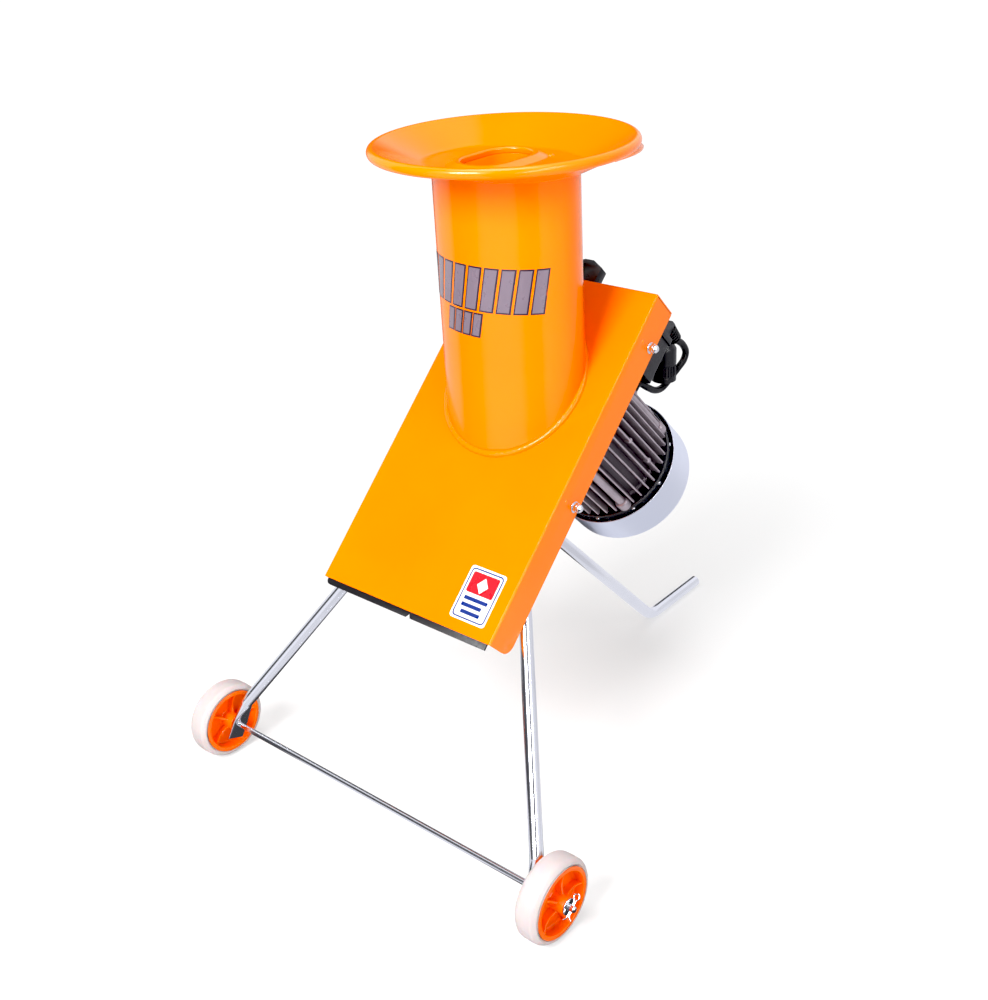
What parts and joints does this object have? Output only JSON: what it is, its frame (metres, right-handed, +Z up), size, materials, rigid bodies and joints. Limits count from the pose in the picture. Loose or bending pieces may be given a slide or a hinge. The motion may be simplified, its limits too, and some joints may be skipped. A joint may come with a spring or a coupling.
{
  "type": "electric garden wood chipper",
  "caption": "Electric garden wood chipper: dished hopper on an upright tube, sloping steel housing, motor-driven knife disc behind it, and a tubular stand on two wheels.",
  "frame": {"origin": "on the ground, under the middle of the machine's footprint (its bounding box)", "axes": "+Z up, +X along the wheel axle towards the right wheel, +Y backward from the wheels to the rear foot"},
  "size_m": [0.754, 0.9484, 0.9594],
  "materials": {
    "orange_paint": "glossy powder coat",
    "zinc_plate": "bright zinc plate",
    "tool_steel": "ground, lightly oiled",
    "cast_aluminium": "as cast, grey lacquer",
    "black_shield": "black lacquer",
    "black_plastic": "fine grain",
    "black_rubber": "satin",
    "copper_wire": null,
    "green_plastic": "gloss",
    "red_plastic": "gloss",
    "pale_tyre": "smooth, slightly translucent",
    "orange_plastic": "satin moulding"
  },
  "bodies": {
    "chassis": {"hopper_dish": "orange_paint", "hopper_tube": "orange_paint", "feed_chute": "orange_paint", "front_cover": "orange_paint", "base_tray": "orange_paint", "counter_blade": "tool_steel", "cover_washer_lower_left": "zinc_plate", "cover_washer_lower_right": "zinc_plate", "cover_washer_upper_left": "zinc_plate", "cover_washer_upper_right": "zinc_plate", "cover_nut_lower_left": "zinc_plate", "cover_nut_lower_right": "zinc_plate", "cover_nut_upper_left": "zinc_plate", "cover_nut_upper_right": "zinc_plate", "motor_front_shield": "cast_aluminium", "stator_housing": "cast_aluminium", "stator_core": "tool_steel", "stator_winding": "copper_wire", "front_bearing": "tool_steel", "rear_bearing": "tool_steel", "motor_rear_shield": "black_shield", "fan_cover": "zinc_plate", "tie_bolt_1": "zinc_plate", "tie_bolt_2": "zinc_plate", "tie_bolt_3": "zinc_plate", "tie_bolt_4": "zinc_plate", "switch_box": "black_plastic", "switch_box_lid": "black_plastic", "button_block": "black_plastic", "run_capacitor": "black_plastic", "lead_gland": "black_rubber", "motor_lead": "black_rubber", "mains_inlet": "black_plastic", "right_leg": "zinc_plate", "left_leg": "zinc_plate", "rear_leg": "zinc_plate", "axle": "zinc_plate", "left_axle_washer": "zinc_plate", "right_axle_washer": "zinc_plate", "left_split_pin": "zinc_plate", "right_split_pin": "zinc_plate"},
    "rotor": {"cutting_disc": "tool_steel", "knife_a": "tool_steel", "knife_b": "tool_steel", "disc_hub": "tool_steel", "disc_bolt": "zinc_plate", "motor_shaft": "tool_steel", "rotor_core": "tool_steel", "cooling_fan": "black_plastic"},
    "left_wheel": {"left_tyre": "pale_tyre", "left_hub": "orange_plastic"},
    "right_wheel": {"right_tyre": "pale_tyre", "right_hub": "orange_plastic"},
    "flap": {"discharge_flap": "black_rubber"},
    "start_push": {"start_button": "green_plastic"},
    "stop_push": {"stop_button": "red_plastic"}
  },
  "joints": [
    {"name": "rotor_spin", "type": "hinge", "parent": "chassis", "child": "rotor", "pos_m": [0.039, -0.03883, 0.60389], "axis": [0, 0.6884, -0.7254], "continuous": true},
    {"name": "left_wheel_spin", "type": "hinge", "parent": "chassis", "child": "left_wheel", "pos_m": [-0.338, -0.41175, 0.0625], "axis": [1, 0, 0], "continuous": true},
    {"name": "right_wheel_spin", "type": "hinge", "parent": "chassis", "child": "right_wheel", "pos_m": [0.338, -0.41175, 0.0625], "axis": [1, 0, 0], "continuous": true},
    {"name": "discharge_flap_swing", "type": "hinge", "parent": "chassis", "child": "flap", "pos_m": [0, -0.27076, 0.3776], "axis": [1, 0, 0], "range_deg": [0, 30]},
    {"name": "start_button_press", "type": "slide", "parent": "chassis", "child": "start_push", "axis": [0, 0.6884, -0.7254], "range_m": [0, 0.003]},
    {"name": "stop_button_press", "type": "slide", "parent": "chassis", "child": "stop_push", "axis": [0, 0.6884, -0.7254], "range_m": [0, 0.003]}
  ]
}
